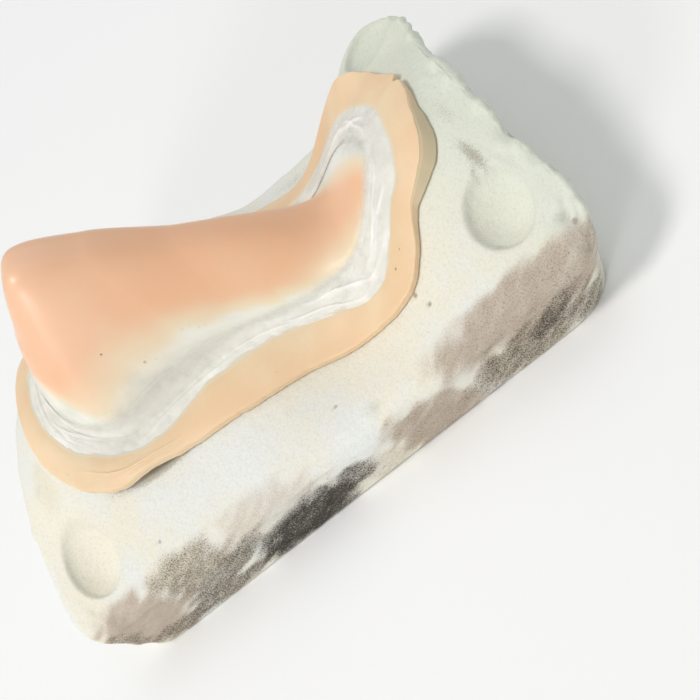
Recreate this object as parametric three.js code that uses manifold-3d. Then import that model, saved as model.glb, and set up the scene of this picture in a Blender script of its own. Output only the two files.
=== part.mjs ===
// A cast silicone prosthetic nose lying on the plaster block that it was cast on.
// Millimetres, +Z up. The origin lies on the floor, under the middle of the nose's base.
// +Y runs from the lip end to the brow end, and the nose stands up along +Z.
import * as THREE from 'three';
import { mergeVertices } from 'three/addons/utils/BufferGeometryUtils.js';
import Module from 'manifold-3d';

// Clearance under and beside each piece that lies on the plaster
const SEAT_GAP = 0.3;

// The face of the block: height of its middle line, and how far it falls to the long edges
const FACE_CREST = 23;
const FACE_FALL = 9;
const FACE_HALF_WIDTH = 31.5;

// Soft rises and hollows of that face: rise, centre, reach each way, and how flat the top is
const RELIEF = [
  { place: 'upper lip', rise: 9.5, x: 0, y: -35, reachX: 19, reachY: 13, flat: 4 },
  { place: 'brow', rise: 1.5, x: 0, y: 42, reachX: 16, reachY: 12, flat: 2 },
  { place: 'eye corner, +X', rise: -6.5, x: 19, y: 12, reachX: 10, reachY: 15, flat: 2 },
  { place: 'eye corner, -X', rise: -10.5, x: -23.5, y: 11, reachX: 13, reachY: 15, flat: 2 },
  { place: 'brow corner, -X', rise: 4, x: -27, y: 36, reachX: 10, reachY: 12, flat: 4 },
  { place: 'bridge', rise: -4.5, x: 0, y: 19, reachX: 9, reachY: 8, flat: 2 },
  { place: 'beside the bridge, -X', rise: -5, x: -9, y: 11, reachX: 5, reachY: 10, flat: 2 },
  { place: 'cheek, -X', rise: -3.8, x: -31, y: -4, reachX: 11, reachY: 8, flat: 2 },
];

// Half of the plan, from the middle of the brow to the middle of the lip, one row per section.
// flash and film give each band's outer edge and foot the rim of the nose, as [x, y]. rise is the
// ridge above the face, waist the share of the half width where the flank is half down, and round
// its fullness.
const SECTIONS = [
  { flash: [0.0, 42.0], film: [0.0, 34.8], foot: [0.0, 32.2], rise: 0.0, waist: 0.50, round: 3.0 },
  { flash: [9.0, 40.0], film: [5.8, 33.8], foot: [4.2, 31.0], rise: 0.3, waist: 0.50, round: 3.0 },
  { flash: [16.0, 34.0], film: [10.8, 30.0], foot: [8.4, 27.5], rise: 0.8, waist: 0.50, round: 3.2 },
  { flash: [22.0, 26.0], film: [16.2, 22.6], foot: [12.0, 20.5], rise: 1.0, waist: 0.55, round: 3.2 },
  { flash: [20.8, 14.0], film: [14.6, 12.5], foot: [12.2, 12.0], rise: 6.2, waist: 0.60, round: 3.2 },
  { flash: [20.2, 3.0], film: [12.6, 1.5], foot: [11.2, 2.0], rise: 13.7, waist: 0.72, round: 3.4 },
  { flash: [20.3, -6.5], film: [12.2, -6.5], foot: [11.1, -6.0], rise: 22.6, waist: 0.88, round: 3.6 },
  { flash: [20.5, -17.0], film: [13.6, -16.0], foot: [12.5, -15.0], rise: 28.6, waist: 0.88, round: 3.6 },
  { flash: [20.6, -29.0], film: [15.9, -26.5], foot: [14.2, -25.0], rise: 15.7, waist: 0.88, round: 3.6 },
  { flash: [15.8, -37.2], film: [12.2, -32.4], foot: [10.8, -30.6], rise: 4.4, waist: 0.78, round: 3.4 },
  { flash: [0.0, -40.4], film: [0.0, -35.0], foot: [0.0, -33.2], rise: 0.0, waist: 0.60, round: 3.0 },
];

// Silicone nose: its rim, and the share of the ridge's rise that the hollow inside takes up
const NOSE_RIM = 0.5;
const HOLLOW_SHARE = 0.6;
const CORE_SHARE = 0.57;

// Bands round the nose: clear film and silicone flash, as rows across from the inner edge
const FILM_BAND = [
  { across: 0.1, up: 0 },
  { across: 0.9, up: 0 },
  { across: 0.9, up: 0.4 },
  { across: 0.1, up: 0.4 },
];
const FLASH_BAND = [
  { across: 0.05, up: 0 },
  { across: 1.0, up: 0 },
  { across: 1.98, up: 0 },
  { across: 2.0, up: 1.1 },
  { across: 1.9, up: 1.7 },
  { across: 1.0, up: 1.9 },
  { across: 0.18, up: 1.6 },
  { across: 0.05, up: 0.8 },
];

// Plaster block: plan corners of its face and of its smaller base, with their rounding
const FACE_CORNERS = [
  { x: 34.0, y: 56.0, round: 11 },
  { x: -31.5, y: 40.5, round: 11 },
  { x: -31.5, y: -47.5, round: 9 },
  { x: 32.5, y: -54.5, round: 7 },
];
const BASE_CORNERS = [
  { x: 32.5, y: 50.0, round: 11 },
  { x: -28.5, y: 35.0, round: 11 },
  { x: -28.0, y: -44.5, round: 9 },
  { x: 31.5, y: -53.0, round: 9 },
];
const LAND_SHARES = [0.25, 0.5, 0.75];
const EDGE_ROWS = [
  { inset: 2.4, drop: 0 },
  { inset: 0.8, drop: 0.7 },
  { inset: 0.0, drop: 2.4 },
];
const WALL_ROWS = [
  { down: 0.5, height: 0.5 },
  { down: 0.9, height: 0.1 },
  { down: 1.0, height: 0.0 },
];

// Registration keys: round dimples that the other half of the mould drops into
const KEY_RADIUS = 5.4;
const KEY_DEPTH = 3.4;
const KEYS = [
  { x: 22.4, y: 44.4 },
  { x: -22.2, y: 36.6 },
  { x: 23.4, y: -43.4 },
  { x: -23.0, y: -40.6 },
];

// Facets round the nose, across it, on a key and on a corner, and the step below which points are one
const STATIONS = 80;
const COLUMNS = 16;
const KEY_FACETS = 20;
const CORNER_FACETS = 20;
const WELD = 1e-4;

const LIP_STATION = STATIONS / 2;

const LOOKS = {
  plaster: { color: 0xe6e3d8, roughness: 0.92, metalness: 0 },
  nose: { color: 0xe8a878, roughness: 0.45, metalness: 0 },
  film: { color: 0xe9e6df, roughness: 0.25, metalness: 0 },
  flash: { color: 0xeebf92, roughness: 0.5, metalness: 0 },
};

/** Height of the plaster face over a point of the plan. */
function faceHeight(x, y) {
  const land = FACE_CREST - FACE_FALL * (x / FACE_HALF_WIDTH) ** 2;
  return RELIEF.reduce((z, form) => {
    const acrossX = Math.exp(-(Math.abs((x - form.x) / form.reachX) ** form.flat));
    const acrossY = Math.exp(-(((y - form.y) / form.reachY) ** 2));
    return z + form.rise * acrossX * acrossY;
  }, land);
}

function onFace(x, y) {
  return new THREE.Vector3(x, y, faceHeight(x, y));
}

function onFaceBetween(p, q, share) {
  return onFace(THREE.MathUtils.lerp(p.x, q.x, share), THREE.MathUtils.lerp(p.y, q.y, share));
}

/** One edge of the sections as a closed loop on the face, +X half then -X half. */
function sectionLoop(edge) {
  const right = SECTIONS.map((row) => new THREE.Vector3(...row[edge], 0));
  const left = right.slice(1, -1).reverse().map((p) => new THREE.Vector3(-p.x, p.y, 0));
  const curve = new THREE.CatmullRomCurve3([...right, ...left], true, 'centripetal');
  return Array.from({ length: STATIONS }, (_, station) => {
    const p = curve.getPoint(station / STATIONS);
    return onFace(p.x, p.y);
  });
}

/** One column of the sections, carried smoothly from the brow (0) to the lip (1). */
function alongNose(column) {
  const rows = SECTIONS.map((row, i) => new THREE.Vector3(i, row[column], 0));
  const curve = new THREE.CatmullRomCurve3(rows, false, 'centripetal');
  return (share) => curve.getPoint(share).y;
}

/** Share of the ridge's rise at t half widths from the middle: a round bell that ends at t = 1. */
function flank(t, waist, round) {
  const bell = (s) => 1 / (1 + (Math.abs(s) / waist) ** round);
  return (bell(t) - bell(1)) / (1 - bell(1));
}

/** Rule that carries a plan point outwards from the origin on to the rounded outline of the corners. */
function blockOutline(corners) {
  const path = new THREE.Path();
  corners.forEach((corner, i) => {
    const tip = new THREE.Vector2(corner.x, corner.y);
    const towards = ({ x, y }) => new THREE.Vector2(x, y).sub(tip).setLength(corner.round).add(tip);
    const start = towards(corners.at(i - 1));
    const end = towards(corners[(i + 1) % corners.length]);
    if (i === 0) {
      path.moveTo(start.x, start.y);
    } else {
      path.lineTo(start.x, start.y);
    }
    path.quadraticCurveTo(tip.x, tip.y, end.x, end.y);
  });
  path.closePath();
  const points = path.getPoints(CORNER_FACETS);
  return (direction) => {
    for (let i = 0; i < points.length; i += 1) {
      const a = points[i];
      const edge = points[(i + 1) % points.length].clone().sub(a);
      const scale = direction.x * edge.y - direction.y * edge.x;
      const reach = (a.x * edge.y - a.y * edge.x) / scale;
      const along = (a.x * direction.y - a.y * direction.x) / scale;
      if (reach > 0 && along >= 0 && along < 1) {
        return new THREE.Vector2(direction.x * reach, direction.y * reach);
      }
    }
    throw new Error('the outline does not go round the origin');
  };
}

const foot = sectionLoop('foot');
const filmEdge = sectionLoop('film');
const flashEdge = sectionLoop('flash');
const flashMiddle = filmEdge.map((p, i) => onFaceBetween(p, flashEdge[i], 0.5));

const riseAt = alongNose('rise');
const waistAt = alongNose('waist');
const roundAt = alongNose('round');

/** Points across the nose at one station, from the -X foot to the +X foot, lifted by a height rule. */
function acrossNose(station, lift) {
  const share = station / LIP_STATION;
  const rise = Math.max(riseAt(share), 0);
  return Array.from({ length: COLUMNS + 1 }, (_, j) => {
    const t = (2 * j) / COLUMNS - 1;
    const rim = foot[station];
    const p = onFace(t * rim.x, rim.y);
    p.z += lift(rise * flank(t, waistAt(share), roundAt(share)));
    return p;
  });
}

/** Triangles between two rows of points; a row of one point is a pole. */
function strip(rowA, rowB, closed) {
  const count = Math.max(rowA.length, rowB.length);
  const steps = closed ? count : count - 1;
  const at = (row, i) => row[row.length === 1 ? 0 : i % row.length];
  const triangles = [];
  for (let i = 0; i < steps; i += 1) {
    if (rowB.length > 1) {
      triangles.push(at(rowA, i), at(rowB, i), at(rowB, i + 1));
    }
    if (rowA.length > 1) {
      triangles.push(at(rowA, i), at(rowB, i + 1), at(rowA, i + 1));
    }
  }
  return triangles;
}

/** Strips through a list of rows, one after another. */
function skin(rows, closed) {
  return rows.slice(1).flatMap((row, i) => strip(rows[i], row, closed));
}

function toGeometry(triangles) {
  const soup = new THREE.BufferGeometry().setFromPoints(triangles);
  return mergeVertices(soup, WELD);
}

function makeMesh(name, geometry, look) {
  const faceted = geometry.toNonIndexed();
  faceted.computeVertexNormals();
  const mesh = new THREE.Mesh(faceted, new THREE.MeshStandardMaterial(look));
  mesh.name = name;
  return mesh;
}

/** The nose: closed rings over the ridge and back under it, from a point at the brow to one at the lip. */
function noseBody() {
  const sections = Array.from({ length: LIP_STATION + 1 }, (_, station) => {
    const outer = acrossNose(station, (height) => SEAT_GAP + NOSE_RIM + height);
    const inner = acrossNose(station, (height) => SEAT_GAP + HOLLOW_SHARE * height);
    if (station === 0 || station === LIP_STATION) {
      return [outer[0].clone().lerp(inner[0], 0.5)];
    }
    return [...outer, ...inner.reverse()];
  });
  return makeMesh('nose_body', toGeometry(skin(sections, true)), LOOKS.nose);
}

/** A closed band that runs round the nose over a list of loops on the plaster face. */
function band(name, loops, rows, look) {
  const rings = rows.map(({ across, up }) => {
    const first = Math.min(Math.floor(across), loops.length - 2);
    return loops[first].map((p, i) => {
      const q = p.clone().lerp(loops[first + 1][i], across - first);
      q.z += SEAT_GAP + up;
      return q;
    });
  });
  return makeMesh(name, toGeometry(skin([...rings, rings[0]], true)), look);
}

/** The block without its keys: base, tapered wall, rounded rim, face, and the core under the nose. */
function blockBody() {
  const edge = flashEdge.map(blockOutline(FACE_CORNERS));
  const sole = flashEdge.map(blockOutline(BASE_CORNERS));
  const inset = (i, depth) => edge[i].clone().multiplyScalar(1 - depth / edge[i].length());
  const shoulderInset = EDGE_ROWS[0].inset;
  const land = LAND_SHARES.map((share) => (
    flashEdge.map((p, i) => onFaceBetween(p, inset(i, shoulderInset), share))
  ));
  const rim = EDGE_ROWS.map((row) => edge.map((_, i) => {
    const q = inset(i, row.inset);
    const p = onFace(q.x, q.y);
    p.z -= row.drop;
    return p;
  }));
  const wall = WALL_ROWS.map((row) => edge.map((p, i) => {
    const q = p.clone().lerp(sole[i], row.down);
    return new THREE.Vector3(q.x, q.y, row.height * rim.at(-1)[i].z);
  }));
  const base = [new THREE.Vector3(0, 0, 0)];
  const shell = skin([base, ...wall.reverse(), ...rim.reverse(), ...land.reverse(),
    flashEdge, flashMiddle, filmEdge, foot], true);
  const core = Array.from({ length: LIP_STATION + 1 }, (_, station) => {
    const row = acrossNose(station, (height) => CORE_SHARE * height);
    return station === 0 || station === LIP_STATION ? [row[0]] : row;
  });
  return toGeometry([...shell, ...skin(core, false)]);
}

const wasm = await Module();
wasm.setup();

function toSolid(geometry) {
  const vertProperties = Float32Array.from(geometry.attributes.position.array);
  const triVerts = Uint32Array.from(geometry.index.array);
  return new wasm.Manifold(new wasm.Mesh({ numProp: 3, vertProperties, triVerts }));
}

function fromSolid(solid) {
  const mesh = solid.getMesh();
  const geometry = new THREE.BufferGeometry();
  geometry.setAttribute('position', new THREE.BufferAttribute(mesh.vertProperties, 3));
  geometry.setIndex(new THREE.BufferAttribute(mesh.triVerts, 1));
  return geometry;
}

/** The ball whose lower cap is one key's dimple. */
function keyBall({ x, y }) {
  const radius = (KEY_RADIUS ** 2 + KEY_DEPTH ** 2) / (2 * KEY_DEPTH);
  const ball = new THREE.SphereGeometry(radius, KEY_FACETS, KEY_FACETS / 2);
  ball.deleteAttribute('normal');
  ball.deleteAttribute('uv');
  ball.rotateX(Math.PI / 2);
  ball.translate(x, y, faceHeight(x, y) + radius - KEY_DEPTH);
  return toSolid(mergeVertices(ball, WELD));
}

function plasterBlock() {
  const cut = KEYS.reduce((solid, key) => solid.subtract(keyBall(key)), toSolid(blockBody()));
  return makeMesh('plaster_block', fromSolid(cut), LOOKS.plaster);
}

const part = new THREE.Group();
part.add(
  plasterBlock(),
  noseBody(),
  band('film_edge', [foot, filmEdge], FILM_BAND, LOOKS.film),
  band('flash_rim', [filmEdge, flashMiddle, flashEdge], FLASH_BAND, LOOKS.flash),
);

export default part;
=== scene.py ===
import bmesh
import bpy
import numpy as np
from mathutils import Matrix, Vector


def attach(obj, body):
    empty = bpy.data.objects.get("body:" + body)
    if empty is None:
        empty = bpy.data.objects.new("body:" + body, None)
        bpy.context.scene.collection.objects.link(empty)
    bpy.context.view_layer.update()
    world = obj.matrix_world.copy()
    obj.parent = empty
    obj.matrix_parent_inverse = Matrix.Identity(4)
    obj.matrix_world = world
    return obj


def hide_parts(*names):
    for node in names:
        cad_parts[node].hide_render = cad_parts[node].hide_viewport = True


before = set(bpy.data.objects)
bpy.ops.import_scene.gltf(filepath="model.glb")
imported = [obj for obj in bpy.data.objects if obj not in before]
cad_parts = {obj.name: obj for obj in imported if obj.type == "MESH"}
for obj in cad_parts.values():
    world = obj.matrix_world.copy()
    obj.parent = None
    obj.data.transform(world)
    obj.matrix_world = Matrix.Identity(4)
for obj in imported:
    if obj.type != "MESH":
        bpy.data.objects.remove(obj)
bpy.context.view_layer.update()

# PLASTER BLOCK
# One half of a casting mould, poured in white plaster and knocked out of its clay wall. Its face is
# crowned for the lip, brow and eye corners, and has a ball-shaped key near each corner that registers
# the other half. It stands on its flat underside and carries everything else.
MM = 0.001
STATIONS = 600
HALFWAY = STATIONS // 2

FACE_CREST = 23.0
FACE_FALL = 9.0
FACE_HALF_WIDTH = 31.5
RELIEF_COLUMNS = ("rise", "x", "y", "reach_x", "reach_y", "flat")
RELIEF = {
    "upper lip": (9.5, 0, -35, 19, 13, 4),
    "brow": (1.5, 0, 42, 16, 12, 2),
    "eye corner, right": (-6.5, 19, 12, 10, 15, 2),
    "eye corner, left": (-10.5, -23.5, 11, 13, 15, 2),
    "brow corner, left": (4.0, -27, 36, 10, 12, 4),
    "bridge": (-4.5, 0, 19, 9, 8, 2),
    "left of the bridge": (-5.0, -9, 11, 5, 10, 2),
    "cheek, left": (-3.8, -31, -4, 11, 8, 2),
}


def named_rows(table, columns):
    """Each row of a table as a dictionary, by the names of its columns."""
    return [dict(zip(columns, row)) for row in table.values()]


def face_height(x, y):
    """Parabola that falls from the crest to the long edges, plus a soft bell for each rise and hollow."""
    z = FACE_CREST - FACE_FALL * (x / FACE_HALF_WIDTH) ** 2
    for bell in named_rows(RELIEF, RELIEF_COLUMNS):
        across = np.exp(-np.abs((x - bell["x"]) / bell["reach_x"]) ** bell["flat"])
        along = np.exp(-((y - bell["y"]) / bell["reach_y"]) ** 2)
        z = z + bell["rise"] * across * along
    return z


# Half of the plan from the middle of the brow to the middle of the lip: outer edges of the flash and of
# the film, rim of the nose, its ridge, its flanks, and the share of its width that is tinted.
SECTION_COLUMNS = ("flash_x", "flash_y", "film_x", "film_y", "foot_x", "foot_y",
                   "rise", "waist", "round", "tint")
SECTION_ROWS = (
    (0.0, 42.0, 0.0, 34.8, 0.0, 32.2, 0.0, 0.50, 3.0, 0.80),
    (9.0, 40.0, 5.8, 33.8, 4.2, 31.0, 0.3, 0.50, 3.0, 0.92),
    (16.0, 34.0, 10.8, 30.0, 8.4, 27.5, 0.8, 0.50, 3.2, 1.00),
    (22.0, 26.0, 16.2, 22.6, 12.0, 20.5, 1.0, 0.55, 3.2, 0.94),
    (20.8, 14.0, 14.6, 12.5, 12.2, 12.0, 6.2, 0.60, 3.2, 0.84),
    (20.2, 3.0, 12.6, 1.5, 11.2, 2.0, 13.7, 0.72, 3.4, 0.75),
    (20.3, -6.5, 12.2, -6.5, 11.1, -6.0, 22.6, 0.88, 3.6, 0.76),
    (20.5, -17.0, 13.6, -16.0, 12.5, -15.0, 28.6, 0.88, 3.6, 0.76),
    (20.6, -29.0, 15.9, -26.5, 14.2, -25.0, 15.7, 0.88, 3.6, 0.79),
    (15.8, -37.2, 12.2, -32.4, 10.8, -30.6, 4.4, 0.78, 3.4, 0.52),
    (0.0, -40.4, 0.0, -35.0, 0.0, -33.2, 0.0, 0.60, 3.0, 0.40),
)
SECTIONS = dict(zip(SECTION_COLUMNS, np.array(SECTION_ROWS).T))


def smooth_curve(points, samples, closed):
    """Centripetal Catmull-Rom: between two neighbours runs the cubic whose end slopes come from the
    chords on either side, each chord counted by the square root of its length."""
    points = np.asarray(points, float)
    before = points[-1:] if closed else 2 * points[:1] - points[1:2]
    after = points[:2] if closed else 2 * points[-1:] - points[-2:-1]
    chain = np.concatenate([before, points, after])
    spans = len(points) - (0 if closed else 1)
    chord = np.sqrt(np.linalg.norm(np.diff(chain, axis=0), axis=1))
    where = np.linspace(0, spans, samples, endpoint=not closed)
    span = np.minimum(where.astype(int), spans - 1)
    t = (where - span)[:, None]
    p0, p1, p2, p3 = (chain[span + k] for k in range(4))
    d0, d1, d2 = (chord[span + k][:, None] for k in range(3))
    out = ((p1 - p0) / d0 - (p2 - p0) / (d0 + d1) + (p2 - p1) / d1) * d1
    into = ((p2 - p1) / d1 - (p3 - p1) / (d1 + d2) + (p3 - p2) / d2) * d1
    return p1 + out * t + (3 * (p2 - p1) - 2 * out - into) * t**2 + (2 * (p1 - p2) + out + into) * t**3


def section_loop(edge):
    """Closed plan loop through one edge's points: down the +X side, then back up its mirror image."""
    right = np.column_stack([SECTIONS[edge + "_x"], SECTIONS[edge + "_y"]])
    left = right[-2:0:-1] * (-1, 1)
    return smooth_curve(np.concatenate([right, left]), STATIONS, True)


def along_nose(column):
    """One column of the sections, carried smoothly from brow (0) to lip (1)."""
    rows = np.column_stack([np.arange(len(SECTION_ROWS)), SECTIONS[column]])
    return smooth_curve(rows, HALFWAY + 1, False)[:, 1]


foot = section_loop("foot")
film_edge = section_loop("film")
flash_edge = section_loop("flash")
brow_to_lip = np.linspace(0, 1, HALFWAY + 1)
ridge = {column: along_nose(column) for column in ("rise", "waist", "round", "tint")}
NARROWEST = 0.05


def nose_height(x, y):
    """The ridge's rise at y, times a round bell of the share of the half width: 1 / (1 + (share / waist)
    to the power round), let down so that it ends at nothing on the rim."""
    share = np.interp(-y, -foot[: HALFWAY + 1, 1], brow_to_lip)
    half = np.interp(share, brow_to_lip, foot[: HALFWAY + 1, 0])
    rise, waist, fullness = (np.interp(share, brow_to_lip, ridge[c]) for c in ("rise", "waist", "round"))
    t = np.abs(x) / np.maximum(half, NARROWEST)
    bell = 1 / (1 + (t / waist) ** fullness)
    rim = 1 / (1 + (1 / waist) ** fullness)
    return np.maximum(rise, 0) * np.clip((bell - rim) / (1 - rim), 0, None)


def blend(p, q, share):
    """Straight line from p to q."""
    return p + (q - p) * share


def smoothstep(low, high, value):
    """Rises from 0 at low to 1 at high as 3 s squared minus 2 s cubed."""
    s = np.clip((value - low) / (high - low), 0, 1)
    return s * s * (3 - 2 * s)


LATTICE_STRIDES = np.array((73856093, 19349663, 83492791), np.uint64)
SEED_STRIDE = 2654435761
FIRST_STIR = np.uint64(6364136223846793005)
SECOND_STIR = np.uint64(1442695040888963407)
STIR_SHIFT = np.uint64(33)
HEIGHT_BITS = 24


def lattice_noise(points, size, seed):
    """Value noise from -1 to 1: a hashed height on each corner of a cubic lattice of that spacing,
    blended between the corners by a smoothstep along each axis."""
    cell = points / size
    low = np.floor(cell).astype(np.int64)
    f = cell - low
    f = f * f * (3 - 2 * f)
    total = np.zeros(points.shape[:-1])
    for corner in np.ndindex(2, 2, 2):
        steps = (low + corner).astype(np.uint64) * LATTICE_STRIDES
        key = steps[..., 0] ^ steps[..., 1] ^ steps[..., 2]
        key = (key + np.uint64(seed * SEED_STRIDE)) * FIRST_STIR
        key = (key ^ (key >> STIR_SHIFT)) * SECOND_STIR
        height = (key >> np.uint64(64 - HEIGHT_BITS)).astype(float) / 2**HEIGHT_BITS
        weight = np.prod(np.where(corner, f, 1 - f), axis=-1)
        total += weight * height
    return 2 * total - 1


def rough_noise(points, layers):
    """Sum of layers of value noise, each given by its height, lattice spacing and seed."""
    return sum(height * lattice_noise(points, size, seed) for height, size, seed in layers)


FACE_CORNERS = ((34.0, 56.0, 11), (-31.5, 40.5, 14), (-31.5, -47.5, 9), (32.5, -54.5, 7))
BASE_CORNERS = ((32.5, 50.0, 11), (-28.5, 35.0, 11), (-28.0, -44.5, 9), (31.5, -53.0, 9))
OUTLINE_STEPS = 90


def block_outline(corners, towards):
    """Rounded polygon (x, y, rounding of each corner): straight sides joined by parabolas. Each plan
    point of towards is carried out from the origin on to it, by radius as a function of angle."""
    tips = np.array(corners, float)[:, :2]
    rounds = np.array(corners, float)[:, 2:]
    back = np.roll(tips, 1, 0) - tips
    ahead = np.roll(tips, -1, 0) - tips
    start = tips + rounds * back / np.linalg.norm(back, axis=1, keepdims=True)
    end = tips + rounds * ahead / np.linalg.norm(ahead, axis=1, keepdims=True)
    s = np.linspace(0, 1, OUTLINE_STEPS)[:, None, None]
    bends = (1 - s) ** 2 * start + 2 * s * (1 - s) * tips + s**2 * end
    sides = blend(end, np.roll(start, -1, 0), s)
    points = np.concatenate([bends, sides]).reshape(-1, 2)
    angle = np.arctan2(points[:, 1], points[:, 0])
    order = np.argsort(angle)
    radius = np.linalg.norm(points, axis=1)
    theta = np.arctan2(towards[:, 1], towards[:, 0])
    reach = np.interp(theta, angle[order], radius[order], period=2 * np.pi)
    return np.column_stack([np.cos(theta), np.sin(theta)]) * reach[:, None]


smooth_edge = block_outline(FACE_CORNERS, flash_edge)
block_sole = block_outline(BASE_CORNERS, flash_edge)
BROW_OUTWARD = np.array((-0.23, 0.973))
BROW_FROM, BROW_TO = 42.0, 46.0
brow_side = smoothstep(BROW_FROM, BROW_TO, smooth_edge @ BROW_OUTWARD)
SOUND_EDGE = ((0.10, 3.4, 13),)
BROKEN_EDGE = ((0.34, 3.4, 13), (0.22, 1.2, 14))
BROKEN_OUT = 0.35


def ragged_edge(outline):
    """The outline moved in and out by two sizes of noise: broken along the brow, softer elsewhere."""
    at = np.column_stack([outline, np.zeros(len(outline))])
    out = blend(rough_noise(at, SOUND_EDGE), BROKEN_OUT + rough_noise(at, BROKEN_EDGE), brow_side)
    return outline * (1 + out / np.linalg.norm(outline, axis=1))[:, None]


block_edge = ragged_edge(smooth_edge)
EDGE_ROUND = 2.4
BROW_ROUND = 0.8
edge_round = blend(EDGE_ROUND, BROW_ROUND, brow_side)
SOLE_ROUND = 0.9
CORE_SHARE = 0.57
SPINE_ENDS = (-26.0, 27.0)
BREAK_POWER = 6
UNDER_SHARES = (0, 0.4, 0.75, 0.93)
HEEL_ROWS, WALL_ROWS, RIM_ROWS, LAND_ROWS = 6, 36, 13, 68
UNDER_FLASH_ROWS, UNDER_FILM_ROWS, CORE_ROWS = 7, 5, 14


def lift(plan, up=0.0):
    """Plan points set on the block's face, raised by a height."""
    return np.concatenate([plan, (face_height(plan[..., 0], plan[..., 1]) + up)[..., None]], -1)


def rings_to_spine(shares):
    """Plan rings that shrink from the nose's rim (1) to a line down its middle (0)."""
    spine = np.column_stack([np.zeros(STATIONS), np.clip(foot[:, 1], *SPINE_ENDS)])
    return blend(spine, foot, shares.reshape(len(shares), -1, 1))


def inset(plan, depth):
    """Plan points drawn in towards the origin by a depth."""
    return plan * (1 - depth / np.linalg.norm(plan, axis=1))[:, None]


def level(plan, z):
    """Plan points set at a height."""
    return np.column_stack([plan, np.broadcast_to(z, STATIONS)])


def block_rows():
    """Rows of points from the middle of the underside out, up the tapered wall, over the rounded rim,
    in over the face and under the bands, to the ridge of the core below the nose."""
    under = [level(block_sole * s, 0) for s in UNDER_SHARES]
    turn = np.linspace(0, np.pi / 2, HEEL_ROWS)
    heel = [level(inset(block_sole, SOLE_ROUND * (1 - np.sin(a))), SOLE_ROUND * (1 - np.cos(a)))
            for a in turn]
    rim_z = face_height(*block_edge.T) - edge_round
    broken = block_edge - smooth_edge
    climb = np.linspace(0, 1, WALL_ROWS)[1:]
    wall = [level(blend(block_sole, smooth_edge, s) + broken * s**BREAK_POWER, blend(SOLE_ROUND, rim_z, s))
            for s in climb]
    turn = np.linspace(0, np.pi / 2, RIM_ROWS)[1:]
    rim = [lift(inset(block_edge, edge_round * (1 - np.cos(a))), -edge_round * (1 - np.sin(a)))
           for a in turn]
    shoulder = inset(block_edge, edge_round)
    land = [lift(blend(shoulder, flash_edge, s)) for s in np.linspace(0, 1, LAND_ROWS)[1:]]
    seat = [lift(blend(flash_edge, film_edge, s)) for s in np.linspace(0, 1, UNDER_FLASH_ROWS)[1:]]
    seat += [lift(blend(film_edge, foot, s)) for s in np.linspace(0, 1, UNDER_FILM_ROWS)[1:]]
    core = rings_to_spine(np.linspace(1, 0, CORE_ROWS)[1:])
    core = list(lift(core, CORE_SHARE * nose_height(core[..., 0], core[..., 1])))
    counts = [len(part) for part in (under, heel, wall, rim, land, seat, core)]
    zone = np.repeat(np.arange(len(counts)), counts)
    return np.array(under + heel + wall + rim + land + seat + core), zone


block, zone = block_rows()
WALL, RIM, LAND, SEAT = 2, 3, 4, 5
on_wall = (zone == WALL)[:, None]
on_rim = (zone == RIM)[:, None]
on_land = (zone == LAND)[:, None]
px, py, pz = (block[..., k] for k in range(3))

# Free surface: nothing under the bands and the nose moves, and the land moves less towards the flash.
STILL_SHARE = 0.12
land_share = np.zeros(len(zone))
land_share[zone == LAND] = np.linspace(1, 0, (zone == LAND).sum())
free = np.where(on_land, smoothstep(0, STILL_SHARE, land_share)[:, None], 0) + on_rim + on_wall

KEY_RADIUS = 5.4
KEY_DEPTH = 3.3
KEYS = ((22.4, 44.4), (-22.2, 36.6), (23.4, -43.4), (-23.0, -40.6))
KEY_LIP = 0.09
KEY_OUTSIDE, KEY_INSIDE = 1.6, 0.4
# Painted shade: a dark ring on each key's rim, darkest on the lip side that the key light leaves in shade.
KEY_RIM_SHADE, KEY_RIM_SHADE_LIT = 0.45, 0.3
KEY_RING_IN, KEY_RING_WIDTH = 0.25, 0.45
KEY_SHADED = (0.35, -0.94)
KEY_SHADE_FROM, KEY_SHADE_TO = -0.6, 0.9

CRUMBLY_COLUMNS = ("x", "y", "reach", "height", "tone")
CRUMBLY = {
    "beside the flash's lip": (12.5, -42.4, 3.6, 0.30, 0.6),
    "foot of the lip corner": (32.0, -48.0, 3.6, 0.55, 0.2),
    "brow corner": (30.2, 51.2, 3.6, 0.50, 0.1),
    "brow edge, right": (18.0, 52.5, 4.0, 0.30, 0.0),
    "brow edge, middle": (-2.0, 48.0, 3.5, 0.20, 0.0),
}
LUMP_COLUMNS = ("x", "y", "radius", "height")
LUMPS = {
    "crumb, brow edge left": (-14.0, 44.4, 0.9, 0.7),
    "crumb, brow edge middle": (-2.5, 47.2, 1.0, 0.6),
    "crumb, beside it": (2.0, 48.2, 1.2, 0.6),
    "crumb, brow edge right": (9.0, 50.0, 1.0, 0.7),
    "chip, brow corner": (28.8, 51.2, 0.8, -0.8),
    "chip, beside it": (30.0, 51.9, 0.7, -0.6),
    "ridge between them": (29.4, 51.9, 0.5, 0.5),
    "chip, brow edge": (14.5, 51.6, 1.4, -0.6),
    "pit, eye corner": (22.5, 26.3, 0.40, -0.35),
    "pit, beside it": (25.2, 27.6, 0.40, -0.35),
    "pit, brow key": (26.1, 41.2, 0.45, -0.30),
    "pit, flank": (26.8, 6.0, 0.35, -0.25),
    "pit, lip": (27.6, -30.5, 0.35, -0.25),
    "chip, long edge": (31.0, 12.0, 1.1, -0.35),
    "chip, left edge": (-29.8, -20.0, 1.6, -0.6),
    "chip, lip edge": (-8.0, -49.6, 1.8, -0.7),
    "crumb, lip edge": (14.0, -51.2, 1.0, 0.5),
}
SMUDGE_AND_SHADOW_COLUMNS = ("x", "y", "length", "width", "turn", "strength")
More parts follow.
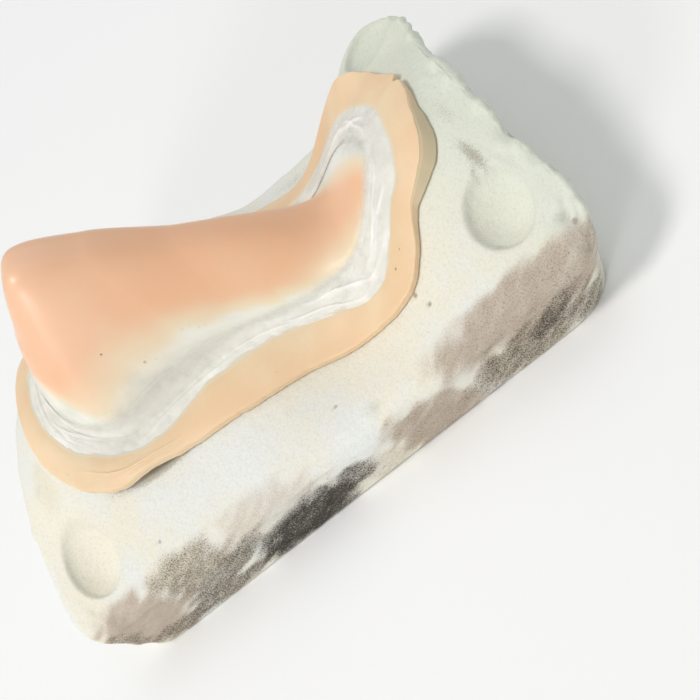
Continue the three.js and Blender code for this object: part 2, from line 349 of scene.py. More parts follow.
SMUDGES_AND_SHADOW = {
    "scuff by the brow key": (14.4, 45.4, 3.2, 1.0, 0.25, 0.9),
    "below that scuff": (16.4, 44.2, 1.6, 0.7, -0.5, 0.6),
    "brow, faint": (6.0, 45.0, 4.0, 1.6, 0.30, 0.35),
    "rubbed lip": (-10.0, -46.0, 7.0, 2.0, 0.0, 0.35),
    "rubbed left": (-27.0, 8.0, 1.8, 7.0, 0.1, 0.35),
    # Painted shadow under the lifted flash edge, reaching into the flash's seat.
    "painted shadow under the peeled flash": (19.4, -24.2, 1.1, 6.5, 0.0, 2.0),
}

SHORTEST = 1e-9


def block_normals(rows):
    """Cross product of the steps from row to row and from station to station."""
    up = np.gradient(rows, axis=0)
    on = np.roll(rows, -1, 1) - np.roll(rows, 1, 1)
    normal = np.cross(up, on)
    return normal / np.maximum(np.linalg.norm(normal, axis=-1, keepdims=True), SHORTEST)


def key_dimples(x, y):
    """Depth of the ball's cap at its plan distance from each key, with the edge rolled over its lip, and
    a narrow ring of painted shade on that edge, darkest on the lip side, which the key light leaves in
    shade."""
    ball = (KEY_RADIUS**2 + KEY_DEPTH**2) / (2 * KEY_DEPTH)
    depth = np.zeros_like(x)
    grime = np.zeros_like(x)
    for key_x, key_y in KEYS:
        reach = np.hypot(x - key_x, y - key_y)
        cap = np.sqrt(np.clip(ball**2 - reach**2, 0, None)) - (ball - KEY_DEPTH)
        rolled = 0.5 * (cap + np.sqrt(cap**2 + KEY_LIP**2))
        depth += rolled * smoothstep(KEY_RADIUS + KEY_OUTSIDE, KEY_RADIUS - KEY_INSIDE, reach)
        facing = ((x - key_x) * KEY_SHADED[0] + (y - key_y) * KEY_SHADED[1]) / KEY_RADIUS
        ring = np.exp(-(((reach - KEY_RADIUS + KEY_RING_IN) / KEY_RING_WIDTH) ** 2))
        shaded = smoothstep(KEY_SHADE_FROM, KEY_SHADE_TO, facing)
        grime += KEY_RIM_SHADE * ring * blend(KEY_RIM_SHADE_LIT, 1.0, shaded)
    return depth, grime


def crumbly_patches(x, y):
    """Soft round patches where the plaster has crumbled: how high the crumbs stand, and how yellow."""
    height = np.zeros_like(x)
    tone = np.zeros_like(x)
    for patch in named_rows(CRUMBLY, CRUMBLY_COLUMNS):
        near = np.exp(-(((x - patch["x"]) ** 2 + (y - patch["y"]) ** 2) / patch["reach"] ** 2) ** 2)
        np.maximum(height, near * patch["height"], out=height)
        np.maximum(tone, near * patch["tone"], out=tone)
    return height, tone


def lumps(x, y):
    """Sum of small bells, up for a crumb that sticks and down for a chip or a pit."""
    total = np.zeros_like(x)
    for lump in named_rows(LUMPS, LUMP_COLUMNS):
        far = np.hypot(x - lump["x"], y - lump["y"]) / lump["radius"]
        total += lump["height"] * np.exp(-(far**2))
    return total


def smudges(x, y):
    """Grey rubbed marks on the face, and a painted shadow under the peeled flash: soft ellipses, each turned
    in the plan, the strongest one counting.
    """
    found = np.zeros_like(x)
    for mark in named_rows(SMUDGES_AND_SHADOW, SMUDGE_AND_SHADOW_COLUMNS):
        c, s = np.cos(mark["turn"]), np.sin(mark["turn"])
        along = ((x - mark["x"]) * c + (y - mark["y"]) * s) / mark["length"]
        across = ((y - mark["y"]) * c - (x - mark["x"]) * s) / mark["width"]
        np.maximum(found, mark["strength"] * np.exp(-(along**2) - across**2), out=found)
    return found


# Layers of roughness (height, lattice spacing, seed): swell of the poured face, cut marks of the wall, torn
# brow edge, grain of the rim, and crumbs; then the crumbled place low on the long wall at the lip.
SWELL = ((0.16, 14, 1), (0.07, 5, 2), (0.035, 1.7, 3))
CHISEL = ((0.34, 6, 4), (0.18, 2.2, 5), (0.10, 1.0, 6))
TORN = ((0.26, 2.6, 9), (0.22, 1.1, 10))
RIM_GRAIN = ((0.05, 1.2, 12),)
COARSE_CRUMBS = ((1.0, 1.6, 7),)
FINE_CRUMBS = ((0.6, 0.9, 8),)
CRUMB_RISE, CRUMB_FILL, CRUMB_LOW = 1.1, 0.1, -0.4
WALL_TOP = 0.75
SOUND_FOOT = 4.0
LIP_FOOT = {"x": 25, "y": -48.4, "z": 10.0, "length": 3.4, "height": 4.5, "crumbs": 0.8}

crumb_height, crumb_tone = crumbly_patches(px, py)
wall_top = smoothstep(WALL_TOP, 1.0, pz / face_height(px, py))
top_side = np.where(on_land | on_rim, 1.0, 0.0) + on_wall * wall_top
coarse_crumbs = np.clip(rough_noise(block, COARSE_CRUMBS) + CRUMB_FILL, CRUMB_LOW, 1)
grit = CRUMB_RISE * coarse_crumbs + rough_noise(block, FINE_CRUMBS)
torn = brow_side * rough_noise(block, TORN)
proud = np.where(on_wall, rough_noise(block, CHISEL), rough_noise(block, SWELL))
proud = proud + on_rim * (torn + rough_noise(block, RIM_GRAIN))
proud = proud + top_side * (crumb_height * grit + lumps(px, py))
foot_y = (py - LIP_FOOT["y"]) / LIP_FOOT["length"]
foot_z = (pz - LIP_FOOT["z"]) / LIP_FOOT["height"]
lip_foot = on_wall * (px > LIP_FOOT["x"]) * np.exp(-(foot_y**2) - foot_z**2)
proud = proud + LIP_FOOT["crumbs"] * lip_foot * grit
proud = proud * free * smoothstep(0.0, SOUND_FOOT, pz)
block = block + block_normals(block) * proud[..., None]
key_depth, key_grime = key_dimples(px, py)
block[..., 2] -= key_depth * (on_land | on_rim)

# Stains on the long wall, where the block lay against paint and clay, two of them partly painted shade among
# the crumbs and along the foot: middle along and up the wall, half length and half height, lean, and how
# much of each stain is there.
STAIN_COLUMNS = ("y", "z", "length", "height", "lean", "mauve", "umber", "charcoal")
STAINS = {
    "mauve lip end": (-43.0, 9.0, 9.0, 8.0, 0.0, 0.95, 0.15, 0.0),
    # Partly a stain and partly painted shade among the crumbs.
    "crumbs at the lip foot, stain and painted shade": (-48.6, 8.0, 3.0, 4.0, 0.0, 0.5, 0.45, 0.40),
    "brown patch": (-29.5, 11.0, 8.5, 6.5, 0.0, 0.35, 0.66, 0.12),
    "brown patch's top": (-30.0, 16.0, 5.5, 1.8, 0.0, 0.2, 0.75, 0.40),
    "pale streak": (-13.0, 12.2, 11.0, 4.2, -0.12, 0.50, 0.08, 0.0),
    "grey smear": (-27.0, 6.4, 12.0, 2.8, 0.26, 0.0, 0.60, 0.50),
    "black streak": (-10.5, 3.6, 12.0, 4.4, 0.06, 0.0, 0.5, 1.0),
    "black streak's end": (0.0, 5.4, 4.5, 3.0, 0.10, 0.0, 0.4, 0.65),
    "mauve patch": (16.0, 4.0, 7.5, 6.5, 0.0, 1.0, 0.40, 0.05),
    "beige brow end": (39.0, 11.5, 17.0, 7.5, 0.0, 0.90, 0.30, 0.0),
    "brown smear": (35.0, 4.6, 12.0, 5.0, 0.12, 0.3, 0.70, 0.42),
    "dark stroke, brow end": (40.0, 6.5, 7.0, 2.6, 0.45, 0.2, 0.60, 0.60),
    # Partly a stain and partly painted contact shadow along the foot of the wall.
    "dark foot, stain and painted contact shadow": (-34.0, 2.4, 19.0, 2.3, 0.0, 0.1, 0.65, 0.50),
    "beige foot": (5.0, 3.0, 7.0, 4.5, 0.0, 0.35, 0.25, 0.0),
    "dark brow foot": (47.0, 2.0, 8.0, 3.5, 0.0, 0.2, 0.5, 0.45),
}
STROKE_LEAN, STROKE_DRAWN = 0.4, 0.2
STROKE_STREAKS = ((0.6, 1.0, 20),)
PATCHY_STREAKS = ((0.4, 2.4, 21),)
STAINED_FROM, STAINED_TO, FRAYED = 28.4, 31.4, 1.1
DENSITY, DENSITY_SCALE = 0.95, 2.2
DENSITY_STREAKS = ((0.18, 1.0, 22),)
STAIN_OUTSIDE, STAIN_INSIDE, STREAK_PUSH = 1.45, 0.50, 0.42


def wall_stains(x, y, z):
    """For each stain, a soft ellipse on the long wall, its edge pushed about by noise that is drawn out
    along the stroke."""
    drawn = STROKE_DRAWN * (y + STROKE_LEAN * z)
    stroke = np.stack([drawn, z - STROKE_LEAN * y, np.zeros_like(x)], -1)
    streaks = rough_noise(stroke, STROKE_STREAKS) + rough_noise(np.stack([x, y, z], -1), PATCHY_STREAKS)
    side = smoothstep(STAINED_FROM, STAINED_TO, x + FRAYED * streaks)
    density = DENSITY + rough_noise(DENSITY_SCALE * stroke, DENSITY_STREAKS)
    found = {"mauve": np.zeros_like(x), "umber": np.zeros_like(x), "charcoal": np.zeros_like(x)}
    for stain in named_rows(STAINS, STAIN_COLUMNS):
        dy = y - stain["y"]
        dz = z - stain["z"] - stain["lean"] * dy
        far = np.sqrt((dy / stain["length"]) ** 2 + (dz / stain["height"]) ** 2)
        near = smoothstep(STAIN_OUTSIDE, STAIN_INSIDE, far + STREAK_PUSH * streaks) * side * density
        for pigment, cover in found.items():
            np.maximum(cover, near * stain[pigment], out=cover)
    return found


WELD = 2e-6


def grid_mesh(name, rows, joined=False, **shades):
    """Mesh of a grid of points in millimetres: a quad between each two rows and stations, closed round
    the stations, and with joined from the last row back to the first. Rows that shrink to a line or a
    point are welded. Each shade is kept as an attribute with one value per point."""
    count, around = rows.shape[:2]
    index = np.arange(count * around).reshape(count, around)
    low = index if joined else index[:-1]
    high = np.roll(index, -1, 0) if joined else index[1:]
    quads = np.stack([low, high, np.roll(high, -1, 1), np.roll(low, -1, 1)], -1).reshape(-1, 4)
    mesh = bpy.data.meshes.new(name)
    mesh.vertices.add(count * around)
    mesh.vertices.foreach_set("co", (rows * MM).astype(np.float32).ravel())
    mesh.loops.add(quads.size)
    mesh.loops.foreach_set("vertex_index", quads.astype(np.int32).ravel())
    mesh.polygons.add(len(quads))
    mesh.polygons.foreach_set("loop_start", np.arange(0, quads.size, 4, dtype=np.int32))
    for shade, values in shades.items():
        layer = mesh.attributes.new(shade, "FLOAT", "POINT")
        layer.data.foreach_set("value", np.broadcast_to(values, (count, around)).astype(np.float32).ravel())
    mesh.update(calc_edges=True)
    welded = bmesh.new()
    welded.from_mesh(mesh)
    bmesh.ops.remove_doubles(welded, verts=welded.verts, dist=WELD)
    welded.to_mesh(mesh)
    welded.free()
    mesh.polygons.foreach_set("use_smooth", np.ones(len(mesh.polygons), bool))
    piece = bpy.data.objects.new(name, mesh)
    bpy.context.scene.collection.objects.link(piece)
    return piece


def place(tree, kind, inputs=None, **settings):
    """Adds a node, sets its properties, then fills each named or numbered input with a value or a link."""
    node = tree.nodes.new(kind)
    for name, value in settings.items():
        setattr(node, name, value)
    for name, value in (inputs or {}).items():
        if isinstance(value, bpy.types.NodeSocket):
            tree.links.new(value, node.inputs[name])
        else:
            node.inputs[name].default_value = value
    return node


def mix(tree, share, a, b, how="MIX"):
    """Colour a going to colour b by a share."""
    return place(tree, "ShaderNodeMix", {0: share, 6: a, 7: b}, data_type="RGBA", blend_type=how).outputs[2]


def maths(tree, operation, a, b=0.0):
    """One operation on two values."""
    return place(tree, "ShaderNodeMath", {0: a, 1: b}, operation=operation).outputs[0]


def ramp(tree, value, low, high, to_low=0.0, to_high=1.0):
    """Smooth step of a value from low to high."""
    inputs = {"Value": value, "From Min": low, "From Max": high, "To Min": to_low, "To Max": to_high}
    return place(tree, "ShaderNodeMapRange", inputs, interpolation_type="SMOOTHSTEP").outputs[0]


def noise(tree, where, scale, detail=2.0, roughness=0.5):
    """Cloudy noise from 0 to 1, with that many clouds to the metre."""
    inputs = {"Vector": where, "Scale": scale, "Detail": detail, "Roughness": roughness}
    return place(tree, "ShaderNodeTexNoise", inputs).outputs["Fac"]


def shade(tree, name):
    """A piece's own attribute, as a value."""
    return place(tree, "ShaderNodeAttribute", attribute_name=name).outputs["Fac"]


def surface_group(name, inputs, outputs):
    """An empty node group with named value sockets, and its input and output nodes."""
    tree = bpy.data.node_groups.new(name, "ShaderNodeTree")
    tree.interface.new_socket("Vector", in_out="INPUT", socket_type="NodeSocketVector")
    for label, value in inputs.items():
        socket = tree.interface.new_socket(label, in_out="INPUT", socket_type="NodeSocketFloat")
        socket.default_value = value
    for label in outputs:
        tree.interface.new_socket(label, in_out="OUTPUT", socket_type="NodeSocketFloat")
    return tree, tree.nodes.new("NodeGroupInput").outputs, tree.nodes.new("NodeGroupOutput").inputs


def specks_group():
    """Specks: random cells, of which a share hold an uneven dark spot. Grain: fine sandy height."""
    tree, given, made = surface_group("plaster_specks", {"Spacing": 700.0, "Share": 0.3, "Size": 0.25},
                                      ("Specks", "Grain"))
    cells = place(tree, "ShaderNodeTexVoronoi", {"Vector": given["Vector"], "Scale": given["Spacing"]})
    chance = place(tree, "ShaderNodeSeparateColor", {0: cells.outputs["Color"]}).outputs[0]
    chosen = maths(tree, "LESS_THAN", chance, given["Share"])
    fine = noise(tree, given["Vector"], scale=3200.0, detail=3.0, roughness=0.7)
    uneven = maths(tree, "ADD", cells.outputs["Distance"], maths(tree, "MULTIPLY", fine, 0.25))
    spot = ramp(tree, maths(tree, "SUBTRACT", uneven, given["Size"]), 0.16, 0.06)
    tree.links.new(maths(tree, "MULTIPLY", chosen, spot), made["Specks"])
    coarse = noise(tree, given["Vector"], scale=900.0, detail=3.0, roughness=0.6)
    tree.links.new(maths(tree, "ADD", maths(tree, "MULTIPLY", fine, 0.6), coarse), made["Grain"])
    return tree


plaster_specks = specks_group()


def new_material(name):
    """A material with its Principled shader, and Object coordinates to lay patterns by."""
    material = bpy.data.materials.new(name)
    material.use_nodes = True
    tree = material.node_tree
    tree.nodes.clear()
    skin = tree.nodes.new("ShaderNodeBsdfPrincipled")
    output = tree.nodes.new("ShaderNodeOutputMaterial")
    tree.links.new(skin.outputs["BSDF"], output.inputs["Surface"])
    return material, tree, skin, tree.nodes.new("ShaderNodeTexCoord").outputs["Object"]


def place_specks(tree, where, spacing, share, size):
    """The specks group in a material, with its own spacing, share of cells and size."""
    group = place(tree, "ShaderNodeGroup", node_tree=plaster_specks)
    tree.links.new(where, group.inputs["Vector"])
    for label, value in (("Spacing", spacing), ("Share", share), ("Size", size)):
        group.inputs[label].default_value = value
    return group.outputs


SPOT_CORE = 0.4


def spots(tree, where, colour, paint, places):
    """Small round spots on a colour: middle, radius (all in millimetres) and strength of each."""
    for middle, radius, strength in places:
        inputs = {0: where, 1: [value * MM for value in middle]}
        far = place(tree, "ShaderNodeVectorMath", inputs, operation="DISTANCE").outputs["Value"]
        cover = ramp(tree, far, radius * MM, SPOT_CORE * radius * MM, 0.0, strength)
        colour = mix(tree, cover, colour, paint)
    return colour


SPOT_COLUMNS = ("x", "y", "radius", "strength")
# Dark spots of painted shade in the pits and chips of the face: middle, radius and strength.
PITS = {
    "eye corner": (22.5, 26.3, 0.35, 0.7),
    "beside it": (25.2, 27.6, 0.30, 0.7),
    "below the brow key": (26.1, 41.2, 0.35, 0.6),
    "chip, brow corner": (28.8, 51.2, 0.55, 0.7),
    "chip beside it": (30.0, 51.9, 0.50, 0.6),
    "flank": (26.8, 6.0, 0.28, 0.5),
    "lip": (27.6, -30.5, 0.28, 0.5),
}
PIT_SUNK = 0.2


def plaster_pits():
    """Each pit's middle on the block's face, with its radius and strength, for a dark spot of painted shade
    in the pit.
    """
    for pit in named_rows(PITS, SPOT_COLUMNS):
        middle = lift(np.array((pit["x"], pit["y"])), -PIT_SUNK)
        yield middle, pit["radius"] + PIT_SUNK, pit["strength"]


WARM_PLASTER = (0.85, 0.81, 0.68, 1)
SHADED_PLASTER = (0.735, 0.768, 0.655, 1)
BLUE_PLASTER = (0.82, 0.83, 0.79, 1)
CRUMB_PLASTER = (0.76, 0.70, 0.52, 1)
SPECK_GREY = (0.45, 0.45, 0.39, 1)
SMUDGE_AND_SHADE_GREY = (0.32, 0.28, 0.21, 1)
# Colour of the painted shade on the key rims and in chips and pits.
PAINTED_SHADE_GREY = (0.50, 0.50, 0.43, 1)
STAIN_PAINTS = (
    ("mauve", (0.58, 0.49, 0.40, 1), (0.50, 0.41, 0.33, 1), 1.0),
    ("umber", (0.48, 0.41, 0.31, 1), (0.20, 0.155, 0.105, 1), 2.2),
    ("charcoal", (0.22, 0.19, 0.155, 1), (0.026, 0.022, 0.018, 1), 2.4),
)


def plaster_material():
    """Warm and bluish plaster in clouds, with painted shade towards the brow, then specks, painted shade on
    the key rims and in the chips, smudges with a painted shadow under the peeled flash, stains, and pits
    with painted shade, laid over it in turn; stains break up where the grain is low."""
    material, tree, skin, where = new_material("cast plaster")
    cloud = noise(tree, where, scale=70.0, detail=4.0, roughness=0.6)
    colour = mix(tree, ramp(tree, cloud, 0.40, 0.66), WARM_PLASTER, BLUE_PLASTER)
    colour = mix(tree, shade(tree, "chalk"), colour, BLUE_PLASTER)
    colour = mix(tree, shade(tree, "damp"), colour, SHADED_PLASTER)
    colour = mix(tree, shade(tree, "crumbly"), colour, CRUMB_PLASTER)
    fine = place_specks(tree, where, spacing=1000.0, share=0.30, size=0.10)
    few = place_specks(tree, where, spacing=310.0, share=0.10, size=0.02)
    sand = noise(tree, where, scale=2200.0, detail=3.0, roughness=0.7)
    colour = mix(tree, ramp(tree, sand, 0.45, 0.75, 0.0, 0.24), colour, SPECK_GREY)
    # Painted shade on the key rims and in chips and pits.
    colour = mix(tree, shade(tree, "grime"), colour, PAINTED_SHADE_GREY)
    colour = mix(tree, maths(tree, "MULTIPLY", fine["Specks"], 0.14), colour, SPECK_GREY)
    colour = mix(tree, maths(tree, "MULTIPLY", few["Specks"], 0.55), colour, SPECK_GREY)
    grain = noise(tree, where, scale=4600.0, detail=2.0, roughness=0.6)
    grit = maths(tree, "SUBTRACT", grain, 0.5)
    smudge = shade(tree, "smudge")
    # Rubbed marks and the painted shadow under the peeled flash; past 0.9, which only that shadow reaches,
    # they go darker.
    rubbed = ramp(tree, maths(tree, "ADD", smudge, maths(tree, "MULTIPLY", grit, 1.4)), 0.15, 0.9)
    rubbed = maths(tree, "MULTIPLY", rubbed, ramp(tree, smudge, 0.02, 0.3))
    rubbed = maths(tree, "MULTIPLY", rubbed, ramp(tree, smudge, 0.9, 1.5, 0.65, 0.95))
    colour = mix(tree, rubbed, colour, SMUDGE_AND_SHADE_GREY)
    for pigment, wash, paint, bite in STAIN_PAINTS:
        amount = shade(tree, pigment)
        colour = mix(tree, ramp(tree, amount, 0.05, 0.95, 0.0, 0.75), colour, wash)
        gritty = maths(tree, "ADD", amount, maths(tree, "MULTIPLY", grit, bite))
        cover = maths(tree, "MULTIPLY", ramp(tree, gritty, 0.25, 1.05), ramp(tree, amount, 0.03, 0.25))
        colour = mix(tree, maths(tree, "MULTIPLY", cover, 0.9), colour, paint)
    # Painted shade in the pits.
    colour = spots(tree, where, colour, SMUDGE_AND_SHADE_GREY, plaster_pits())
    tree.links.new(colour, skin.inputs["Base Color"])
    skin.inputs["Roughness"].default_value = 0.92
    skin.inputs["Specular IOR Level"].default_value = 0.25
    pits = maths(tree, "SUBTRACT", fine["Grain"], maths(tree, "MULTIPLY", few["Specks"], 1.2))
    bump = place(tree, "ShaderNodeBump", {"Height": pits, "Strength": 0.65, "Distance": 0.00022})
    tree.links.new(bump.outputs[0], skin.inputs["Normal"])
    return material


# Painted shade: the face turns greyer and greener towards the brow end.
BROW_SHADE_FROM, BROW_SHADE_TO, BROW_SHADE_SLANT, BROW_SHADE_MOST = 16, 44, 0.55, 0.9
CHALK_X, CHALK_Y, CHALK_WIDTH, CHALK_LENGTH = 26, -11, 6, 10
SMUDGE_SHADOW_MOST = 0.9
# Painted shade in chips and pits, darker the deeper they sink.
CHIP_SHADE, CHIP_SHADE_MOST = 0.9, 0.35
damp = smoothstep(BROW_SHADE_FROM, BROW_SHADE_TO, py - BROW_SHADE_SLANT * px) * BROW_SHADE_MOST
chalk = np.exp(-(((px - CHALK_X) / CHALK_WIDTH) ** 2) - ((py - CHALK_Y) / CHALK_LENGTH) ** 2)
rubbed = smudges(px, py)
# In the flash's seat the painted shadow under the peeled edge keeps its full strength; elsewhere marks stay
# on the face.
smudge = np.where((zone == SEAT)[:, None], rubbed, np.clip(rubbed, 0, SMUDGE_SHADOW_MOST) * top_side)
# Painted shade: the key rims, and the chips and pits by their depth.
grime = (key_grime + np.clip(-CHIP_SHADE * lumps(px, py), 0, CHIP_SHADE_MOST)) * top_side
plaster_block = grid_mesh("plaster_block_cast", block, damp=damp, chalk=chalk, smudge=smudge, grime=grime,
                          crumbly=crumb_tone * free, **wall_stains(px, py, pz))
plaster_block.data.materials.append(plaster_material())
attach(plaster_block, "root")
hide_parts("plaster_block")

# SILICONE NOSE
# Soft tinted silicone, cast in the gap between the block's core and the other half of the mould. It is
# thickest along its ridge and tip, and thins out round its rim until the white plaster shows through.
# It lies loose on the core, held by its own cling.
NOSE_SEAT = 0.12
NOSE_RIM = 0.16
NOSE_FULL_RIM = 0.8
THIN_FROM, THIN_FROM_BROW = 0.80, 0.30
BROW_END_FROM, BROW_END_TO = 22.0, 31.0
brow_end = smoothstep(BROW_END_FROM, BROW_END_TO, foot[:, 1])
HOLLOW_SHARE = 0.62
HOLLOW_RINGS, SKIN_RINGS, SKIN_SPACING = 12, 84, 1.25
PINHOLES = {"flank": (9.4, -16.2, 0.26, 0.75), "flank, lower": (10.3, -13.4, 0.36, 0.40)}


def rim_lift(shares):
    """Height of the skin apart from the nose's rise: full inside, thinning by a smoothstep to the rim, and
    from further in at the brow."""
    thin_from = blend(THIN_FROM, THIN_FROM_BROW, brow_end)
    thinned = smoothstep(thin_from, 1.0, shares.reshape(len(shares), -1))
    return blend(NOSE_FULL_RIM, NOSE_SEAT + NOSE_RIM, thinned)


def nose_rows():
    """Rings from the middle line out to the rim along the hollow underside, and back in over the skin."""
    under_shares = np.linspace(0, 1, HOLLOW_RINGS)
    over_shares = 1 - np.linspace(0, 1, SKIN_RINGS) ** SKIN_SPACING
    under = rings_to_spine(under_shares)
    over = rings_to_spine(over_shares)
    hollow = lift(under, NOSE_SEAT + HOLLOW_SHARE * nose_height(under[..., 0], under[..., 1]))
    depth = nose_height(over[..., 0], over[..., 1])
    skin = lift(over, rim_lift(over_shares) + depth)
    shares = np.concatenate([under_shares, over_shares])[:, None]
    return np.concatenate([hollow, skin]), shares


def pinholes():
    """Air bubbles that broke the surface, painted as dark spots of shade: each one's middle on the skin, its
    radius and strength.
    """
    for hole in named_rows(PINHOLES, SPOT_COLUMNS):
        middle = lift(np.array((hole["x"], hole["y"])), NOSE_FULL_RIM + nose_height(hole["x"], hole["y"]))
        yield middle, hole["radius"], hole["strength"]


# Tint: full along the ridge and clear at the rim, the change lying at each station's own share of the way
# out and wider round the tip; then faded across the brow, and across the eye corner between two lines.
TINT_NONE, TINT_FULL, TINT_WIDER = 0.15, -0.13, 1.55
WIDER_FROM, WIDER_TO = -4.0, -14.0
TINT_WOBBLE = ((0.035, 9, 30), (0.02, 3, 31))
BROW_FADE = (-0.72, 0.59)
BROW_FADE_FROM, BROW_FADE_TO, BROW_WOBBLE = 12.6, 19.6, 8
EYE_FADE_Y = (0.0, 8.0, 22.0, 30.0)
EYE_FADE_INNER = (29.0, 7.0, 2.0, 2.0)
EYE_FADE_OUTER = (30.0, 14.6, 16.5, 17.0)
EYE_WOBBLE = 10
TIP = {"y": -17, "z": 50, "length": 9, "height": 11}
POLISH = ((0.05, 6, 32),)
POLISH_NONE, POLISH_FULL = 0.85, 0.65

nose, nose_shares = nose_rows()
station_tint = np.concatenate([ridge["tint"], ridge["tint"][-2:0:-1]])
tint_wobble = rough_noise(nose, TINT_WOBBLE)
wider = blend(1.0, TINT_WIDER, smoothstep(WIDER_FROM, WIDER_TO, foot[:, 1]))
tint = smoothstep(TINT_NONE * wider, TINT_FULL * wider, nose_shares - station_tint + tint_wobble)
across_brow = nose[..., :2] @ BROW_FADE + BROW_WOBBLE * tint_wobble
tint = tint * smoothstep(BROW_FADE_TO, BROW_FADE_FROM, across_brow)
eye_inner = np.interp(nose[..., 1], EYE_FADE_Y, EYE_FADE_INNER)
eye_outer = np.interp(nose[..., 1], EYE_FADE_Y, EYE_FADE_OUTER)
tint = tint * smoothstep(eye_outer, eye_inner, nose[..., 0] + EYE_WOBBLE * tint_wobble)
tip_y = (nose[..., 1] - TIP["y"]) / TIP["length"]
tip_z = (nose[..., 2] - TIP["z"]) / TIP["height"]
tip = np.exp(-(tip_y**2 + tip_z**2))
nose[..., 2] += rough_noise(nose, POLISH) * smoothstep(POLISH_NONE, POLISH_FULL, nose_shares)

PEACH = (0.90, 0.525, 0.315, 1)
PEACH_PINK = (0.93, 0.555, 0.345, 1)
CREAM = (0.88, 0.71, 0.50, 1)
THIN_WHITE = (0.88, 0.855, 0.765, 1)
THIN_GREY = (0.66, 0.66, 0.59, 1)
PINHOLE_SHADE_BROWN = (0.16, 0.10, 0.07, 1)


def skin_group():
    """Pores: small soft dents where random cells lie close. Mottle: broad uneven pigment."""
    tree, given, made = surface_group("silicone_skin", {"Pores": 1600.0}, ("Pores", "Mottle"))
    cells = place(tree, "ShaderNodeTexVoronoi", {"Vector": given["Vector"], "Scale": given["Pores"]})
    fine = noise(tree, given["Vector"], scale=2600.0, detail=2.0)
    tree.links.new(maths(tree, "ADD", ramp(tree, cells.outputs["Distance"], 0.0, 0.5), fine), made["Pores"])
    tree.links.new(noise(tree, given["Vector"], scale=120.0, detail=3.0), made["Mottle"])
    return tree


silicone_skin = skin_group()
ROUGHNESS_LESS, ROUGHNESS_MORE = 0.05, 0.06
PORE_DEPTH = 0.00006


def silicone_finish(tree, skin, where, roughness, bump):
    """Sheen, soft depth and pores that nose and flash share."""
    group = place(tree, "ShaderNodeGroup", {"Vector": where}, node_tree=silicone_skin)
    smooth, dull = roughness - ROUGHNESS_LESS, roughness + ROUGHNESS_MORE
    rough = ramp(tree, group.outputs["Mottle"], 0.3, 0.7, smooth, dull)
    tree.links.new(rough, skin.inputs["Roughness"])
    pores = {"Height": group.outputs["Pores"], "Strength": bump, "Distance": PORE_DEPTH}
    tree.links.new(place(tree, "ShaderNodeBump", pores).outputs[0], skin.inputs["Normal"])
    skin.inputs["Subsurface Weight"].default_value = 0.22
    skin.inputs["Subsurface Radius"].default_value = (1.0, 0.45, 0.25)
    skin.inputs["Subsurface Scale"].default_value = 0.0025
    skin.inputs["Specular IOR Level"].default_value = 0.45
    return group.outputs["Mottle"]


def nose_material():
    """Clear rim over murky plaster, going to cream and then to full peach as the tint grows, pinker and
    with a glossier coat on the tip."""
    material, tree, skin, where = new_material("nose silicone")
    mottle = silicone_finish(tree, skin, where, roughness=0.40, bump=0.08)
    full = mix(tree, shade(tree, "tip"), PEACH, PEACH_PINK)
    full = mix(tree, ramp(tree, mottle, 0.35, 0.75, 0.0, 0.12), full, CREAM)
    thin = place_specks(tree, where, spacing=900.0, share=0.30, size=0.25)
    murk = ramp(tree, noise(tree, where, scale=160.0, detail=3.0), 0.45, 0.7)
    bare = mix(tree, maths(tree, "MULTIPLY", murk, 0.65), THIN_WHITE, THIN_GREY)
    bare = mix(tree, maths(tree, "MULTIPLY", thin["Specks"], 0.3), bare, SPECK_GREY)
    colour = mix(tree, ramp(tree, shade(tree, "tint"), 0.03, 0.45), bare, CREAM)
    colour = mix(tree, ramp(tree, shade(tree, "tint"), 0.35, 1.0), colour, full)
    # Painted shade: dark dots for pinholes that are not modelled.
    colour = spots(tree, where, colour, PINHOLE_SHADE_BROWN, pinholes())
    tree.links.new(colour, skin.inputs["Base Color"])
    tree.links.new(ramp(tree, shade(tree, "tip"), 0.05, 0.5, 0.15, 0.8), skin.inputs["Coat Weight"])
    skin.inputs["Coat Roughness"].default_value = 0.34
    return material


silicone_nose = grid_mesh("silicone_nose", nose, tint=tint, tip=tip)
silicone_nose.data.materials.append(nose_material())
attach(silicone_nose, "root")
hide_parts("nose_body")

